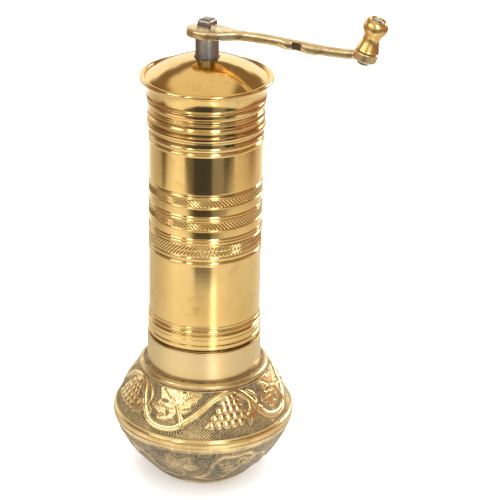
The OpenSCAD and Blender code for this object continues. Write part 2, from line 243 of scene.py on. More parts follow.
def lathe(name, outline, material, body, nodes, segments=288, shape=None, sharp=40, crevice_shade=1.0,
          painted_shadow_top=0.0):
    """Turns a closed (r, z) outline round Z. shape(angle, r, z) may change the radius."""
    pts = np.array(outline, float)
    angles = np.arange(segments) * TAU / segments
    r = np.repeat(pts[:, :1], segments, 1)
    z = np.repeat(pts[:, 1:], segments, 1)
    if shape:
        r = shape(angles[None, :], r, z)
    verts = np.stack([r * np.cos(angles), r * np.sin(angles), z], -1).reshape(-1, 3)
    obj = mesh_object(name, verts, len(pts), material, body, nodes, sharp)
    weld(obj, sharp)
    # Painted shade: crevices, and everything below the given height (the barrel's foot gap), are darkened
    # through the cavity attribute.
    painted_shadow = coordinates(obj)[:, 2] < painted_shadow_top
    add_attribute(obj, "cavity", np.maximum(crevice_shade * crevices(obj), painted_shadow))


def add_attribute(obj, name, values):
    """Stores one value for each vertex, for the material to read."""
    layer = obj.data.attributes.new(name, "FLOAT", "POINT")
    layer.data.foreach_set("value", np.asarray(values, np.float32).ravel())


def coordinates(obj):
    """Vertex places in millimetres, one row each."""
    co = np.zeros(len(obj.data.vertices) * 3, np.float32)
    obj.data.vertices.foreach_get("co", co)
    return co.reshape(-1, 3) / MM


CREVICE_STEP = 0.15
CREVICE_REACH = 4


def crevices(obj):
    """How deep each vertex lies under the outside just above and below it, 0 to 1."""
    co = coordinates(obj)
    r, z = np.hypot(co[:, 0], co[:, 1]), co[:, 2]
    slot = ((z - z.min()) / CREVICE_STEP).astype(int)
    outside = np.zeros(slot.max() + 1)
    np.maximum.at(outside, slot, r)
    known = np.flatnonzero(outside)
    outside = np.interp(np.arange(len(outside)), known, outside[known])
    wide = np.convolve(np.pad(outside, CREVICE_REACH, "edge"), np.ones(2 * CREVICE_REACH + 1), "valid")
    wide /= 2 * CREVICE_REACH + 1
    return np.clip((wide[slot] - r - 0.06) / 0.3, 0, 1) * (r > wide[slot] - 1.2)


# ---- materials


class Nodes:
    """Short way to write a node tree. A socket takes a value or another node's output."""

    def __init__(self, tree, place="Object"):
        self.tree = tree
        self.place = self.add("ShaderNodeTexCoord").outputs[place]

    def add(self, kind, inputs={}, **settings):
        node = self.tree.nodes.new(kind)
        for key, value in settings.items():
            setattr(node, key, value)
        for key, value in inputs.items():
            self.put(node.inputs[key], value)
        return node

    def put(self, socket, value):
        if hasattr(value, "is_output"):
            self.tree.links.new(value, socket)
        else:
            socket.default_value = value

    def noise(self, scale, detail, rough, stretch=(1, 1, 1), distort=0.0):
        place = self.add("ShaderNodeMapping", {"Vector": self.place, "Scale": stretch}).outputs["Vector"]
        return self.add("ShaderNodeTexNoise", {
            "Vector": place, "Scale": scale, "Detail": detail, "Roughness": rough, "Distortion": distort,
        }).outputs["Fac"]

    def ramp(self, fac, low, high, a=0.0, b=1.0, kind="LINEAR"):
        """Maps fac from [low, high] to [a, b]."""
        return self.add("ShaderNodeMapRange", {
            "Value": fac, "From Min": low, "From Max": high, "To Min": a, "To Max": b,
        }, interpolation_type=kind).outputs["Result"]

    def math(self, operation, a, b=0.0):
        return self.add("ShaderNodeMath", {0: a, 1: b}, operation=operation).outputs[0]

    def mix(self, fac, a, b):
        inputs = {"Factor": fac, "A": a, "B": b}
        return self.add("ShaderNodeMix", inputs, data_type="RGBA").outputs["Result"]

    def attribute(self, name, output="Fac"):
        return self.add("ShaderNodeAttribute", attribute_name=name).outputs[output]

    def bump(self, height, distance, strength=1.0, normal=None):
        inputs = {"Height": height, "Distance": distance, "Strength": strength}
        if normal is not None:
            inputs["Normal"] = normal
        return self.add("ShaderNodeBump", inputs).outputs["Normal"]


class Material(Nodes):
    """A node tree of its own, with one surface shader."""

    def __init__(self, name, surface="ShaderNodeBsdfPrincipled"):
        self.material = bpy.data.materials.new(name)
        self.material.use_nodes = True
        self.material.node_tree.nodes.clear()
        super().__init__(self.material.node_tree)
        self.surface = self.add(surface)
        self.add("ShaderNodeOutputMaterial", {"Surface": self.surface.outputs[0]})

    def finish(self, color, rough, normal, metal=1.0, more={}):
        """Fills in the surface shader."""
        inputs = {"Base Color": color, "Roughness": rough, "Normal": normal, "Metallic": metal}
        for key, value in {**inputs, **more}.items():
            self.put(self.surface.inputs[key], value)
        return self.material


GOLD = (0.87, 0.625, 0.275, 1)
GOLD_DEEP = (0.78, 0.51, 0.185, 1)
GOLD_PALE = (0.89, 0.69, 0.38, 1)
ROSE_PALE = (0.82, 0.63, 0.35, 1)
ROSE = (0.77, 0.56, 0.28, 1)
SMUDGE = (0.50, 0.31, 0.12, 1)
# Painted shade: the colour laid in crevices, the barrel's foot gap and the crank's notched facet.
PAINTED_SHADE = (0.10, 0.065, 0.025, 1)
PATINA = (0.05, 0.036, 0.018, 1)
PATINA_GREY = (0.22, 0.175, 0.11, 1)
WORN_PATINA = (0.42, 0.31, 0.155, 1)


def polished_brass(name, gloss, worn):
    """Polished brass: fine rings round the axis, cloudy tarnished tone, hairline scratches, and painted
    shade where the cavity attribute is set.
    """
    n = Material(name)
    cloud = n.noise(38, 5, 0.6)
    patch = n.noise(150, 3, 0.5)
    tint = n.mix(n.ramp(cloud, 0.35, 0.68), GOLD, GOLD_DEEP)
    tint = n.mix(n.ramp(patch, 0.62, 0.8, 0, 0.45), tint, SMUDGE)
    # Painted shade in the crevices and the foot gap, from the cavity attribute.
    tint = n.mix(n.attribute("cavity"), tint, PAINTED_SHADE)
    rings = n.noise(1.0, 3, 0.6, stretch=(30, 30, 5200))
    hair = n.noise(1.0, 2, 0.5, stretch=(2600, 2600, 40), distort=0.4)
    rough = n.math("ADD", n.ramp(cloud, 0.3, 0.7, gloss, worn), n.ramp(rings, 0.4, 0.7, 0, 0.035))
    normal = n.bump(rings, 0.00002, 0.35)
    normal = n.bump(n.ramp(hair, 0.62, 0.7), 0.000006, 0.25, normal)
    normal = n.bump(n.noise(55, 2, 0.5), 0.0004, 0.12, normal)
    return n.finish(tint, rough, normal)


def satin_brass():
    """Brushed brass: fine lines round the axis and a soft gloss."""
    n = Material("brass_satin")
    lines = n.noise(1.0, 4, 0.7, stretch=(14, 14, 4200))
    cloud = n.noise(60, 4, 0.6)
    tint = n.mix(n.ramp(lines, 0.35, 0.65), ROSE_PALE, ROSE)
    tint = n.mix(n.ramp(cloud, 0.55, 0.75, 0, 0.5), tint, GOLD_DEEP)
    rough = n.ramp(lines, 0.3, 0.7, 0.24, 0.36)
    return n.finish(tint, rough, n.bump(lines, 0.00004, 0.5), more={"Anisotropic": 0.4})


def antique_brass():
    """Cast brass: patina where the relief is low, rubbed metal where it is high."""
    n = Material("brass_antique")
    height, cavity = n.attribute("relief"), n.attribute("cavity")
    grain = n.noise(900, 3, 0.7)
    blotch = n.noise(95, 4, 0.6)
    rubbed = n.math("ADD", height, n.ramp(blotch, 0.3, 0.7, -0.22, 0.12))
    rubbed = n.math("ADD", rubbed, n.ramp(grain, 0.3, 0.7, -0.12, 0.08))
    rubbed = n.math("SUBTRACT", rubbed, n.ramp(cavity, 0.02, 0.5, 0, 0.45))
    shine = n.ramp(rubbed, 0.22, 0.74)
    dull = n.mix(n.ramp(grain, 0.35, 0.65), PATINA, PATINA_GREY)
    dull = n.mix(n.ramp(rubbed, -0.1, 0.42), dull, WORN_PATINA)
    bright = n.mix(n.ramp(blotch, 0.35, 0.7), GOLD, GOLD_PALE)
    tint = n.mix(shine, dull, bright)
    rough = n.ramp(shine, 0, 1, 0.46, 0.2)
    pits = n.bump(grain, 0.00009, 0.4)
    normal = n.bump(n.noise(260, 3, 0.6), 0.0002, 0.25, pits)
    return n.finish(tint, rough, normal, n.ramp(shine, 0, 0.6, 0.72, 1.0))


def cast_brass():
    """Hand-filed cast brass: soft lumps, file strokes, duller hollows, and painted shade where the cavity
    attribute is set.
    """
    n = Material("brass_cast")
    lumps = n.noise(210, 3, 0.55)
    file_marks = n.noise(1.0, 3, 0.6, stretch=(220, 1800, 1500))
    blotch = n.noise(130, 4, 0.6)
    tint = n.mix(n.ramp(blotch, 0.35, 0.68), (0.86, 0.70, 0.43, 1), (0.74, 0.56, 0.30, 1))
    tint = n.mix(n.ramp(lumps, 0.52, 0.74, 0, 0.7), tint, (0.33, 0.23, 0.11, 1))
    # Painted shade on the arm's facet, from the cavity attribute.
    tint = n.mix(n.attribute("cavity"), tint, PAINTED_SHADE)
    rough = n.math("ADD", n.ramp(blotch, 0.3, 0.7, 0.22, 0.36), n.ramp(file_marks, 0.4, 0.7, 0, 0.08))
    normal = n.bump(file_marks, 0.00004, 0.4)
    return n.finish(tint, rough, n.bump(lumps, 0.0006, 0.3, normal))


def drawn_steel():
    """Mild steel with lengthwise draw marks."""
    n = Material("steel")
    lines = n.noise(1.0, 3, 0.6, stretch=(1100, 1100, 28))
    blotch = n.noise(110, 3, 0.6)
    tint = n.mix(n.ramp(blotch, 0.35, 0.7), (0.45, 0.43, 0.395, 1), (0.30, 0.28, 0.25, 1))
    tint = n.mix(n.ramp(lines, 0.5, 0.75, 0, 0.5), tint, (0.13, 0.115, 0.10, 1))
    rough = n.ramp(blotch, 0.3, 0.7, 0.18, 0.32)
    return n.finish(tint, rough, n.bump(lines, 0.00005, 0.45))


def spring_steel():
    """Drawn wire: lengthwise marks and an oily film."""
    n = Material("spring_steel")
    film = n.noise(400, 4, 0.6)
    tint = n.mix(n.ramp(film, 0.35, 0.65), (0.5, 0.5, 0.5, 1), (0.3, 0.29, 0.28, 1))
    return n.finish(tint, n.ramp(film, 0.3, 0.7, 0.22, 0.38), n.bump(n.noise(2600, 2, 0.5), 0.00002, 0.4))


def burr_iron():
    """Hardened iron, oily and dark, with coffee dust in the grooves."""
    n = Material("burr_iron")
    grain = n.noise(700, 5, 0.7)
    dust = n.noise(160, 4, 0.65)
    tint = n.mix(n.ramp(grain, 0.3, 0.7), (0.19, 0.185, 0.18, 1), (0.09, 0.085, 0.08, 1))
    tint = n.mix(n.ramp(dust, 0.58, 0.72, 0, 0.7), tint, (0.05, 0.032, 0.02, 1))
    return n.finish(tint, n.ramp(dust, 0.35, 0.7, 0.34, 0.62), n.bump(grain, 0.00012, 0.6), 0.9)


POLISHED = polished_brass("brass_polished", 0.085, 0.16)
HANDLED = polished_brass("brass_handled", 0.22, 0.32)
SATIN, ANTIQUE = satin_brass(), antique_brass()
CAST, STEEL, WIRE, IRON = cast_brass(), drawn_steel(), spring_steel(), burr_iron()

# ---- bowl with its relief

REPEATS = 4
STARTS = [FRONT + k * 360 / REPEATS for k in range(REPEATS)]
GROUND = -1.0
VEIN_DEEP = 0.3


def smooth_path(points, steps=8):
    """A Catmull-Rom curve through given points."""
    p = [np.array(q, float) for q in points]
    p = [2 * p[0] - p[1]] + p + [2 * p[-1] - p[-2]]
    out = []
    for a, b, c, d in zip(p, p[1:], p[2:], p[3:]):
        for t in np.linspace(0, 1, steps, endpoint=False):
            out.append(0.5 * (2 * b + (c - a) * t + (2 * a - 5 * b + 4 * c - d) * t * t
                              + (3 * b - a - 3 * c + d) * t**3))
    return out + [p[-2]]


class Relief:
    """Heights over a band of the bowl: angle round the axis (degrees), v up the wall (mm)."""

    def __init__(self, angles, v, radii):
        self.angle, self.v = np.meshgrid(angles, v)
        self.mm = np.radians(1.0) * np.repeat(np.asarray(radii)[:, None], len(angles), 1)
        self.h = np.full(self.angle.shape, GROUND)

    def offset(self, angle, v):
        """Distances round and up from a point, in mm, the short way round."""
        turn = (self.angle - angle + 180) % 360 - 180
        return turn * self.mm, self.v - v

    def raise_to(self, height, where):
        self.h = np.maximum(self.h, np.where(where, height, GROUND))

    def along(self, path):
        """Distance to a path, the distance run along it, and the side of it."""
        best = np.full(self.h.shape, 1e9)
        run, side = np.zeros(self.h.shape), np.ones(self.h.shape)
        start = 0.0
        for (a0, v0), (a1, v1) in zip(path, path[1:]):
            x0, y0 = self.offset(a0, v0)
            ux, uy = (a1 - a0) * self.mm, v1 - v0
            length = np.sqrt(ux * ux + uy * uy) + 1e-9
            t = np.clip((x0 * ux + y0 * uy) / length**2, 0, 1)
            dx, dy = x0 - ux * t, y0 - uy * t
            d = np.sqrt(dx * dx + dy * dy)
            near = d < best
            best = np.where(near, d, best)
            run = np.where(near, start + t * length, run)
            side = np.where(near, np.sign(ux * dy - uy * dx), side)
            start += float(np.median(length))
        return best, run / start, side * best

    def strand(self, path, wide, tall, taper=(1, 1), groove=0.0):
        """A round-backed stem along a path."""
        d, t, s = self.along(path)
        w = wide * (taper[0] + (taper[1] - taper[0]) * t)
        body = np.sqrt(np.clip(1 - (d / w) ** 2, 0, 1))
        height = GROUND + tall * body - groove * hump(s, -0.25 * w, 0.2) * (d < w)
        self.raise_to(height, d < w)
        return d, t

    def vine(self, at, points, *form):
        """A stem on a smooth curve through points, placed from an angle."""
        self.strand(smooth_path([(at + a, v) for a, v in points]), *form)

    def lobe(self, base, tip, wide, tall=0.85, bend=0.0):
        """A pointed leaf lobe with a sunk middle vein and side veins."""
        x, y = self.offset(*base)
        ux, uy = (tip[0] - base[0]) * self.mm, tip[1] - base[1]
        length = np.sqrt(ux * ux + uy * uy)
        t = (x * ux + y * uy) / length**2
        across = (ux * y - uy * x) / length - bend * np.sin(np.pi * np.clip(t, 0, 1))
        teeth = 1 + 0.11 * np.sin(t * 22)
        w = 1.12 * wide * np.sin(np.pi * np.clip(t, 0.0, 1) ** 0.8) ** 0.55 * teeth + 0.15
        inside = w - np.abs(across)
        rise = np.clip(inside / 0.55, 0, 1)
        cup = 0.22 * np.clip(np.abs(across) / np.maximum(w, 0.1), 0, 1) ** 2
        height = GROUND + tall * np.sqrt(rise * (2 - rise)) * (0.78 + cup)
        height -= VEIN_DEEP * hump(across, 0, 0.17) * (t < 0.9)
        branch = np.abs(((t * length - np.abs(across) * 0.9) / 2.1) % 1 - 0.5)
        height -= 0.3 * VEIN_DEEP * hump(branch, 0, 0.09) * (inside > 0.3)
        self.raise_to(height, (inside > 0) & (t > -0.02) & (t < 1.02))

    def berry(self, angle, v, rad, tall=1.0):
        """A flat-topped round berry."""
        x, y = self.offset(angle, v)
        d2 = (x * x + y * y) / rad**2
        self.raise_to(GROUND + tall * np.clip(1 - d2, 0, 1) ** 0.36, d2 < 1)

    def pit(self, angle, v, across, up, deep):
        """An oval hollow."""
        x, y = self.offset(angle, v)
        self.h -= deep * np.exp(-((x / across) ** 2 + (y / up) ** 2) ** 2)


COMB_TEETH = 270
PEBBLES_ROUND = 165
PEBBLE_PITCH = 1.4
# The upper band's ornament as drawn: angles in degrees from a repeat's start, v in millimetres.
# LEAF holds each lobe's tip, half width and bend, LEAFLETS each one's base, tip and half width.
VINE = ((-68, 21.4), (-60, 20.4), (-53, 16.2), (-47, 10.8), (-42, 6.9), (-36, 5.0), (-28, 4.5),
        (-20, 5.5), (-13, 8.6), (-6, 12.0), (2, 16.0), (10, 19.3))
HAND_SHIFT = (0.0, 1.5, -1.0, 0.8)
LEAF = ((-42, 13.4, 3.0, 0.3), (-37.5, 22.6, 3.7, -0.4), (-35, 8.2, 2.6, 0.5), (-21.5, 23.2, 2.9, 0.0),
        (-1.5, 22.2, 3.1, 0.8), (-9, 14.4, 2.0, -0.3))
LEAFLETS = ((42.6, 11.8, 49, 8.4, 1.5), (40.5, 12, 36.5, 6.4, 1.5), (-54, 12.5, -57.5, 5.0, 1.8),
            (-52, 10.5, -62, 9.4, 1.8))
CURL = ((28, 21), (33.5, 19.6), (37.2, 16.4), (37, 12.6), (34, 10.2))
SPRIG = ((39, 20), (43.6, 18), (45.2, 14.6), (42.8, 11.6))
GRAPES = ((7.4, (5.5, 11.0, 16.6, 22.2, 27.8)), (10.5, (8.2, 13.6, 19.2, 24.8, 30.0)),
          (13.6, (12.4, 17.2, 22.4, 27.6)), (16.6, (16.6, 21.6, 26.2)), (19.0, (21, 25)))


def upper_ornament(relief):
    """The upper band's stem, vine leaf, grapes and tendrils. Returns the ground's fine pattern."""
    starts = [at + shift for at, shift in zip(STARTS, HAND_SHIFT)]
    stems = [(at + a, v) for at in starts for a, v in VINE]
    stems.append((stems[0][0] + 360, stems[0][1]))
    d, run = relief.strand(smooth_path(stems, 5), 1.65, 1.0, groove=0.4)
    comb = np.sin(run * TAU * COMB_TEETH)
    pebbles = np.sin(np.radians(relief.angle) * PEBBLES_ROUND) * np.sin(relief.v * TAU / PEBBLE_PITCH)
    near = np.clip(3.6 - d, 0, 1)
    for at in starts:
        for a, v, wide, bend in LEAF:
            relief.lobe((at - 20.5, 14.6), (at + a, v), wide, bend=bend)
        relief.strand([(at - 15.5, 7.0), (at - 17.5, 11.0), (at - 20.5, 15.4)], 1.4, 0.98, (1.3, 0.9))
        relief.pit(at - 31.5, 16.4, 1.9, 0.7, 0.7)
        relief.pit(at - 27.5, 11.4, 0.8, 1.3, 0.6)
        for v, angles in GRAPES:
            for a in angles:
                relief.berry(at + a, v + 0.35 * math.sin(a * 2.3), 2.05 + 0.12 * math.sin(a * 3.1))
        relief.vine(at, CURL, 1.2, 0.98, (1.2, 0.6))
        relief.vine(at, SPRIG, 0.9, 0.92, (1.2, 0.7))
        for a, v, tip_a, tip_v, wide in LEAFLETS:
            relief.lobe((at + a, v), (at + tip_a, tip_v), wide)
        relief.berry(at + 2.2, 6.8, 0.9, 0.8)
        relief.pit(at - 0.5, 7.0, 0.8, 0.9, 0.5)
    return near * 0.3 * comb + (1 - near) * 0.3 * pebbles


# The lower band's, in the same way.
SCROLL = ((-66, 16), (-58, 24), (-50, 27.5), (-42, 24), (-38, 18), (-32, 13), (-24, 11))
SECOND_SCROLL = ((-6, 11), (2, 14), (6, 20), (8, 26), (14, 30), (22, 29.5))
SCROLL_EYE = ((24, 29.5), (32, 30.2), (38, 26.5), (35, 22.5), (28, 22.3), (25, 25.2), (28.5, 27.6), (32, 26))
LOW_LEAF = ((-31, 25, 2.9), (-25, 31, 2.7), (-9, 31, 2.8), (-2, 23.5, 2.4), (-29, 17, 2.5))
LOW_BERRIES = ((13, 24.5), (17.5, 25), (15.5, 21.5), (20, 22), (18, 18.6), (22.4, 18.8), (20.6, 15.4))


def lower_ornament(relief):
    """The lower band's worn leaves, scrolls and berries. Returns the ground's fine pattern."""
    for at in STARTS:
        relief.vine(at, SCROLL, 1.7, 0.95, (0.8, 1.2), 0.25)
        for a, v, wide in LOW_LEAF:
            relief.lobe((at - 16, 20), (at + a, v), wide, 0.9, 0.3)
        relief.vine(at, [(-24, 11), (-17, 13), (-15, 17), (-16, 20)], 0.9, 0.95)
        relief.vine(at, SECOND_SCROLL, 1.6, 0.95, (1.1, 0.8), 0.25)
        relief.vine(at, SCROLL_EYE, 1.4, 0.95, (1.1, 0.7))
        for a, v in LOW_BERRIES:
            relief.berry(at + a, v, 1.75, 0.9)
        relief.vine(at, [(20, 12), (16, 9), (8, 8), (-6, 11)], 1.5, 0.9)
    return 0.2 * np.sin(relief.angle * relief.mm * TAU / 1.3) * np.sin(relief.v * TAU / 1.2)


def blurred(h, times):
    """A soft copy of the heights, wrapped round the axis."""
    for _ in range(times):
        h = (np.roll(h, 1, 1) + 2 * h + np.roll(h, -1, 1)) / 4
        up, down = np.vstack([h[1:], h[-1:]]), np.vstack([h[:1], h[:-1]])
        h = (up + 2 * h + down) / 4
    return h


def normals_of(pts):
    """Outward normals along an (r, z) outline that runs upwards."""
    tangent = np.gradient(pts, axis=0)
    out = np.stack([tangent[:, 1], -tangent[:, 0]], 1)
    return out / np.linalg.norm(out, axis=1)[:, None]


def resampled(curve, step):
    """The curve's points at an even step, and the distance run at each."""
    curve = np.array(curve)
    run = np.r_[0, np.cumsum(np.hypot(*np.diff(curve, axis=0).T))]
    at = np.linspace(0, run[-1], int(run[-1] / step) + 1)
    return np.stack([np.interp(at, run, curve[:, 0]), np.interp(at, run, curve[:, 1])], 1), at


BOWL_COLUMNS = 1280
GRAIN_MM = 0.19
EDGE_FADE = 0.7


def bowl_shell(name, node, outside, inside, start, ornament, span, depth, dull, plain=None, gain=1.0):
    """A cast shell with the ornament over a span of v, the distance up its outside from start."""
    outer, run = resampled(outside, GRAIN_MM)
    v = run - start
    angles = np.arange(BOWL_COLUMNS) * 360 / BOWL_COLUMNS
    relief = Relief(angles, v, outer[:, 0])
    ground = ornament(relief)
    field = np.maximum(relief.h, GROUND + 0.27 + ground)
    edge = np.clip((v - span[0]) / EDGE_FADE, 0, 1) * np.clip((span[1] - v) / EDGE_FADE, 0, 1)
    field = blurred(field, 1) * smooth(edge, 0, 1)[:, None]
    cut = field * depth + (plain(v)[:, None] if plain else 0)
    normal = normals_of(outer)[:, None, :]
    turn = np.radians(angles)
    inner = np.array(inside)
    r = np.vstack([outer[:, :1] + cut * normal[:, :, 0], np.repeat(inner[:, :1], BOWL_COLUMNS, 1)])
    z = np.vstack([outer[:, 1:] + cut * normal[:, :, 1], np.repeat(inner[:, 1:], BOWL_COLUMNS, 1)])
    verts = np.stack([r * np.cos(turn), r * np.sin(turn), z], -1).reshape(-1, 3)
    obj = mesh_object(name, verts, len(r), ANTIQUE, "receptacle", [node], 50)
    height = gain * (1 + field) - dull(v)[:, None] + (1 - gain) / 2
    cavity = gain * np.clip(blurred(field, 14) - field, 0, 1)
    bare = np.ones((len(inner), BOWL_COLUMNS))
    add_attribute(obj, "relief", np.vstack([height, 0.3 * bare]))
    add_attribute(obj, "cavity", np.vstack([cavity, 0 * bare]))


def upper_dullness(v):
    """The smooth girth and neck are rubbed less than the leaves."""
    girth = smooth(-v, 0.4, 1.2) * (0.3 + 0.12 * smooth(-v, 2.6, 3.6))
    neck = smooth(v, 22.2, 23.0) * 0.4 + 0.5 * smooth(v, 26.0, 26.6)
    return girth + neck + 0.6 * hump(v, 22.9, 0.4)


def neck_bead(v):
    """The neck's moulding with a groove on each side, and two fine lines on the girth."""
    swell = np.clip((v - 23.2) / 3.0, 0, 1)
    groove = hump(v, 22.9, 0.3) + 1.4 * hump(v, 26.8, 0.45)
    lines = 0.3 * hump(v, -3.1, 0.28) + 0.3 * hump(v, 0.3, 0.3)
    return 0.45 * np.sin(np.pi * swell) - 0.4 * groove - lines


def make_lower_bowl():
    outside = cubic((0.3, 0), (8, 0), (FOOT_R - 4, 0), (FOOT_R, 0), 8) + cubic(
        (FOOT_R, 0), (FOOT_R + 6.5, 4.5), (SEAM_R - 3.6, 15), (SEAM_R, SEAM_Z), 60)[1:]
    inside = cubic((SEAM_R - WALL, SEAM_Z), (SEAM_R - 3.6 - WALL, 16), (FOOT_R + 5, 4.5 + WALL),
                   (FOOT_R - 3, WALL), 14) + [[0.3, WALL]]
    bowl_shell("bowl_lower_shell", "bowl_lower", outside, inside, FOOT_R, lower_ornament, (4.5, 33.6),
               0.6, lambda v: np.full(len(v), 0.3), gain=0.4)


def make_upper_bowl():
    shoulder = GIRTH_R - 0.5
    girth = cubic((SEAM_R, SEAM_Z), (GIRTH_R + 0.1, SEAM_Z + 1.2), (GIRTH_R + 0.1, SEAM_Z + 3),
                  (shoulder, BAND_TOP), 12)
    wall = cubic((shoulder, BAND_TOP), (shoulder - 3.5, NECK_Z - 14.4), (NECK_R + 3.6, NECK_Z - 3.4),
                 (NECK_R, NECK_Z), 60)[1:]
    lining = [[COLLAR_R + 0.02, NECK_Z]] + cubic(
        (COLLAR_R + 0.02, COLLAR_BOTTOM), (NECK_R + 2.6, COLLAR_BOTTOM - 3.4),
        (shoulder - 3.5 - WALL, NECK_Z - 15), (SEAM_R - WALL, SEAM_Z), 14)
    girth_run = 4.6
    bowl_shell("bowl_upper_shell", "bowl_upper", girth + wall, lining, girth_run, upper_ornament,
               (0.6, 22.6), 0.95, upper_dullness, neck_bead)


def make_collar():
    bore = SLEEVE_R + 0.1
    outline = [[COLLAR_R, COLLAR_BOTTOM], [COLLAR_R, NECK_Z + 0.6], [COLLAR_R, COLLAR_TOP - 0.5],
               [COLLAR_R - 0.15, COLLAR_TOP - 0.1], [COLLAR_R - 0.5, COLLAR_TOP], [bore, COLLAR_TOP],
               [bore, COLLAR_BOTTOM]]
    lathe("collar_shell", softened(outline, 0.12), SATIN, "receptacle", ["bowl_collar"])


# ---- barrel

ROPE_TEETH = 96
ROPE_CUT = 0.25
ROPE_PROUD = 0.16
ROPE_FADE = 0.25
# Each rope band: its lowest and highest point, the slant of its teeth, and their shift in turns.
ROPES = ((115.9, 118.1, -1.3, 0.5), (118.3, 120.5, -1.3, 0.0), (128.5, 131.6, 1.3, 0.0),
         (139.1, 142.3, 1.3, 0.0))
FOOT_GAP = 1.1


def milled(angles, r, z):
    """Cuts the slanted teeth of the rope bands."""
    out = r.copy()
    outer = r > BARREL_R - 0.6
    for low, high, slant, shift in ROPES:
        inside = np.clip((z - low) / ROPE_FADE, 0, 1) * np.clip((high - z) / ROPE_FADE, 0, 1)
        wave = np.sin(ROPE_TEETH * angles + slant * TAU / 2 * (z - low) + shift * TAU)
        tooth = 0.5 - 0.5 * np.clip(wave * 1.6, -1, 1)
        out = out - ROPE_CUT * tooth * inside * outer
    return out


# The barrel's outside, from the foot up: radii from the plain tube's, heights from the ground.


def tube(proud, *heights):
    """Points on a straight length of the tube."""
    return [[BARREL_R + proud, z] for z in heights]


def ring(base, z, tall, proud, n=8):
    """A bead or groove, on a length `base` proud."""
    return bead(BARREL_R + base, z, tall, proud, n)


def rope(number, rows):
    """The rows that a rope band's teeth are cut in."""
    low, high = ROPES[number][:2]
    return tube(ROPE_PROUD, *np.linspace(low - 0.1, high + 0.1, rows))


def barrel_foot():
    """A recess against the collar, and the plain rings over it."""
    return (tube(-0.45, BARREL_Z, BARREL_Z + FOOT_GAP) + tube(0.35, BARREL_Z + FOOT_GAP + 0.2, 72.0)
            + ring(0.45, 72.1, 0.8, -0.35) + tube(0.45, 75.0) + ring(0.45, 75.1, 0.4, -0.15, 4)
            + tube(0.42, 76.7) + ring(0.4, 76.8, 0.9, -0.4) + ring(0.1, 77.9, 1.6, 0.35)
            + ring(0.1, 79.9, 0.5, -0.2, 4) + ring(0.05, 81.2, 0.5, -0.15, 4))


def barrel_bands():
    """The lower panel, the four rope bands between their beads, and the upper panel."""
    return (tube(0, 82.2, 96, 110.8) + ring(0, 111.4, 1.2, 0.28) + ring(0, 112.9, 0.5, -0.25, 6)
            + ring(0, 113.8, 1.5, 0.28) + rope(0, 15) + rope(1, 15)
            + ring(0, 120.8, 0.4, -0.2, 4) + ring(0, 121.5, 1.1, 0.25) + ring(0, 122.8, 1.1, 0.25)
            + tube(-0.12, 124.2, 127.3) + ring(0, 127.5, 0.8, 0.25) + rope(2, 20)
            + ring(0, 132.0, 1.1, 0.25) + ring(0, 133.3, 1.1, 0.25)
            + tube(-0.12, 134.6, 137.9) + ring(0, 138.1, 0.8, 0.25) + rope(3, 20)
            + ring(0, 142.7, 0.9, 0.25) + ring(0, 144.1, 0.6, -0.2, 5) + tube(0, 145.3, 154, 161.7))


def barrel_rim():
    """The upper beads, the flared lip and the stepped rim under the lid."""
    return (ring(0, 162.1, 1.1, 0.25) + ring(0, 163.5, 0.7, -0.25) + ring(0, 164.5, 1.5, 0.3)
            + tube(0.05, 166.4) + tube(-0.05, 167.6) + tube(0.1, 168.8) + tube(0.9, 169.1)
            + tube(1.05, 169.9) + tube(0.95, 170.8) + tube(0.3, 171.2) + tube(0.2, 172.4)
            + ring(0.25, 172.8, 1.6, 0.45) + tube(0.15, 174.9) + tube(0.1, 175.9) + tube(0.45, 176.2)
            + ring(0.45, 176.7, 0.45, -0.2, 5) + ring(0.45, 177.8, 0.45, -0.2, 5) + tube(0.5, 179.1)
            + tube(1.0, 179.5) + tube(1.05, 180.6) + tube(0.95, BARREL_TOP - 0.2) + tube(0.7, BARREL_TOP))


def make_barrel():
    bore = SLEEVE_R + 0.02
    inner = [[BORE_R, BARREL_TOP], [BORE_R, SLEEVE_TOP + 0.1], [bore, SLEEVE_TOP + 0.02], [bore, BARREL_Z]]
    outline = softened(barrel_foot() + barrel_bands() + barrel_rim() + inner, 0.12, 40)
    # The foot's recess against the collar gets a painted shadow below this height.
    lathe("barrel_shell", outline, POLISHED, "mill", ["barrel"], 1152, milled, 60,
          painted_shadow_top=BARREL_Z + FOOT_GAP + 0.1)


# ---- lid


